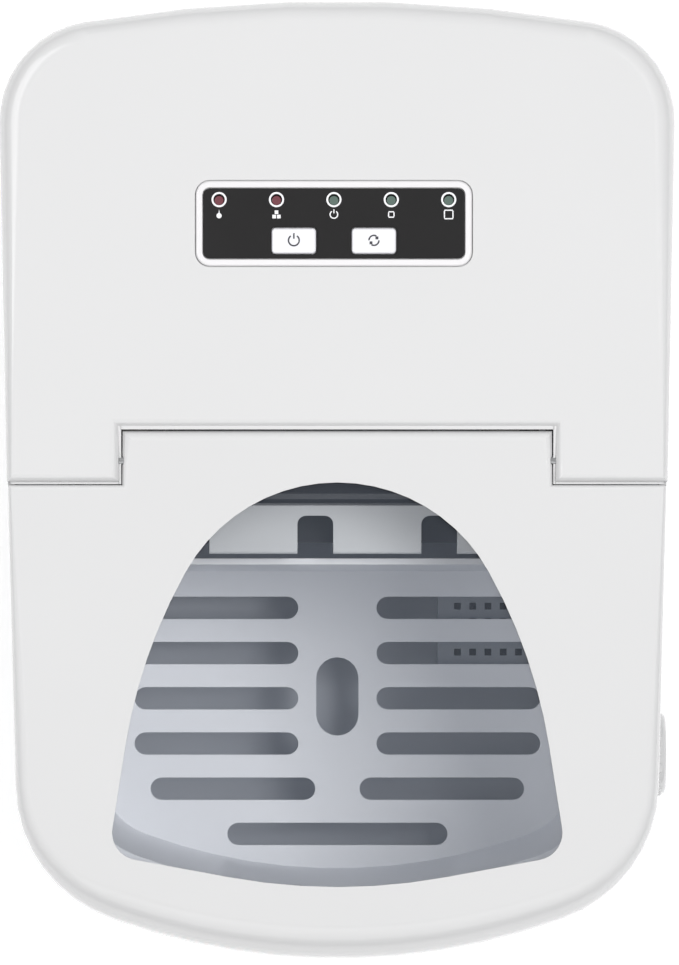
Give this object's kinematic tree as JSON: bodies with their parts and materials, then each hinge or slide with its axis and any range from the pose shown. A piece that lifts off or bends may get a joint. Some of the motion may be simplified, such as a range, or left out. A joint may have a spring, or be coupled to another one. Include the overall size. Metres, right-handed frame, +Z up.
{
  "type": "ice maker",
  "caption": "Countertop bullet-ice maker with hinged windowed lid, slotted ice basket, tilting water tray, ice pusher, pump and compressor cooling.",
  "frame": {"origin": "on the table, under the middle of the machine's box", "axes": "+Z up, front towards -Y, +X to the right of a person who faces the front"},
  "size_m": [0.2461, 0.3473, 0.3291],
  "materials": {
    "white_plastic": "semi-gloss white moulding",
    "grey_plastic": "satin grey moulding",
    "basket_plastic": "satin pale blue-grey moulding",
    "tinted_window": "smoke-blue transparent plastic",
    "bezel_silver": "satin silver plating",
    "panel_black": "black overlay",
    "lens_red": "unlit red lens",
    "lens_green": "unlit green lens",
    "button_white": "white key",
    "board_green": "solder-masked board",
    "black_plastic": "satin black moulding",
    "steel": "plain steel",
    "nickel": "nickel-plated copper",
    "copper": "drawn copper",
    "aluminium": "mill finish",
    "black_paint": "black enamel",
    "foam_white": "expanded foam",
    "rubber": "matt black rubber",
    "silicone": "translucent silicone"
  },
  "bodies": {
    "root": {"add_water_lens": "lens_red", "base_pan": "grey_plastic", "body_shell": "white_plastic", "capillary_tube": "copper", "compressor": "black_paint", "condenser": "aluminium", "control_bezel": "bezel_silver", "control_board": "board_green", "control_face": "panel_black", "discharge_tube": "copper", "drain_spout": "grey_plastic", "drier_filter": "copper", "evaporator": "nickel", "evaporator_bracket": "steel", "fan_motor": "black_paint", "fan_shroud": "black_plastic", "foam_jacket": "foam_white", "foot_front_left": "rubber", "foot_front_right": "rubber", "foot_rear_left": "rubber", "foot_rear_right": "rubber", "grommet_front": "rubber", "grommet_left": "rubber", "grommet_right": "rubber", "harvest_frame": "grey_plastic", "hinge_pin_left": "steel", "hinge_pin_right": "steel", "ice_full_lens": "lens_red", "ice_sensor_left": "black_plastic", "ice_sensor_right": "black_plastic", "large_ice_lens": "lens_green", "liquid_tube": "copper", "power_board": "board_green", "power_inlet": "black_plastic", "power_lens": "lens_green", "pump_strainer": "grey_plastic", "rear_cover": "white_plastic", "reservoir_tub": "grey_plastic", "small_ice_lens": "lens_green", "suction_tube": "copper", "tray_motor": "black_plastic", "water_hose": "silicone", "water_pump": "black_plastic"},
    "lid": {"lid_frame": "white_plastic", "lid_window": "tinted_window"},
    "on_off_key": {"on_off_button": "button_white"},
    "select_key": {"select_button": "button_white"},
    "basket": {"ice_basket": "basket_plastic"},
    "tray": {"water_tray": "white_plastic", "tray_shaft": "steel"},
    "pusher": {"ice_pusher": "grey_plastic"},
    "fan": {"fan_blade": "grey_plastic"},
    "cap": {"drain_cap": "white_plastic"}
  },
  "joints": [
    {"name": "lid_hinge", "type": "hinge", "parent": "root", "child": "lid", "pos_m": [0, 0.008, 0.3178], "axis": [-1, 0, 0], "range_deg": [0, 95]},
    {"name": "on_off_press", "type": "slide", "parent": "root", "child": "on_off_key", "axis": [0, 0.0419, -0.9991], "range_m": [0, 0.0008], "stiffness_N_per_m": 900},
    {"name": "select_press", "type": "slide", "parent": "root", "child": "select_key", "axis": [0, 0.0419, -0.9991], "range_m": [0, 0.0008], "stiffness_N_per_m": 900},
    {"name": "basket_lift", "type": "slide", "parent": "root", "child": "basket", "axis": [0, 0, 1], "range_m": [0, 0.026]},
    {"name": "tray_tilt", "type": "hinge", "parent": "root", "child": "tray", "pos_m": [-0.008, 0.028, 0.268], "axis": [-1, 0, 0], "range_deg": [0, 80]},
    {"name": "pusher_sweep", "type": "hinge", "parent": "root", "child": "pusher", "pos_m": [-0.008, 0.028, 0.268], "axis": [1, 0, 0], "range_deg": [0, 44]},
    {"name": "fan_spin", "type": "hinge", "parent": "root", "child": "fan", "pos_m": [0.044, 0.14965, 0.0568], "axis": [0, 1, 0], "continuous": true},
    {"name": "cap_out", "type": "slide", "parent": "root", "child": "cap", "axis": [1, 0, 0], "range_m": [0, 0.02]}
  ],
  "couplings": [
    {"joint": "pusher_sweep", "follows": "tray_tilt", "ratio": 0.55}
  ]
}
